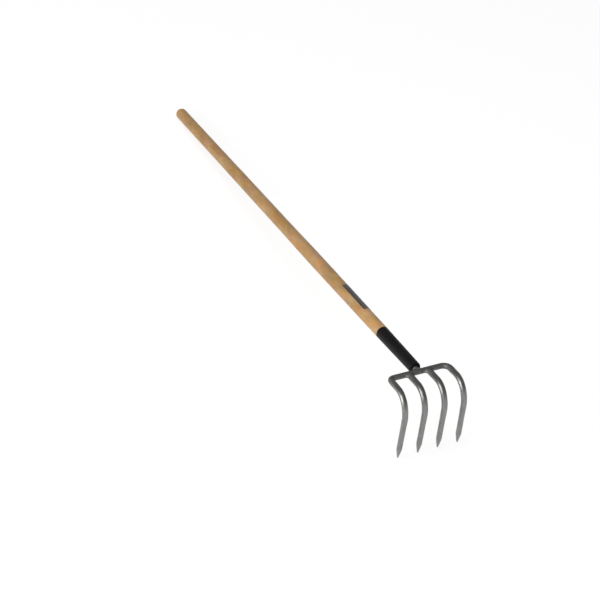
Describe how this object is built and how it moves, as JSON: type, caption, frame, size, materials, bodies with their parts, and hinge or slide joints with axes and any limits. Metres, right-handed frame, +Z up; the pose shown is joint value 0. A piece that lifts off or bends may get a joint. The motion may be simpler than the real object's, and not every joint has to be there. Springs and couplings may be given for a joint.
{
  "type": "garden hook",
  "caption": "Long-handled garden hook: bent pointed steel tines on a crossbar, a black tapered ferrule and a turned wooden pole.",
  "frame": {"origin": "on the floor under the middle of the tool, which lies on the tips of its tines and the end of its handle", "axes": "+Y along the tool towards the butt of the handle, +X along the crossbar, +Z up"},
  "size_m": [0.1576, 1.5196, 0.1809],
  "materials": {
    "handle_wood": "turned ash, clear varnish",
    "ferrule_paint": "black semi-gloss enamel",
    "tang_steel": "forged, bare",
    "pin_steel": "drawn nail, bright",
    "forged_steel": "forged, clear lacquered, dark grey",
    "weld_bead": "forge-welded fillet, clear lacquered",
    "label_film": "bare dark film"
  },
  "bodies": {
    "root": {"handle": "handle_wood", "ferrule": "ferrule_paint", "tang": "tang_steel", "ferrule_pin": "pin_steel", "bow": "forged_steel", "inner_tine_left": "forged_steel", "inner_tine_right": "forged_steel", "weld_tine_left": "weld_bead", "weld_tine_right": "weld_bead", "weld_tang": "weld_bead", "label": "label_film"}
  },
  "joints": []
}
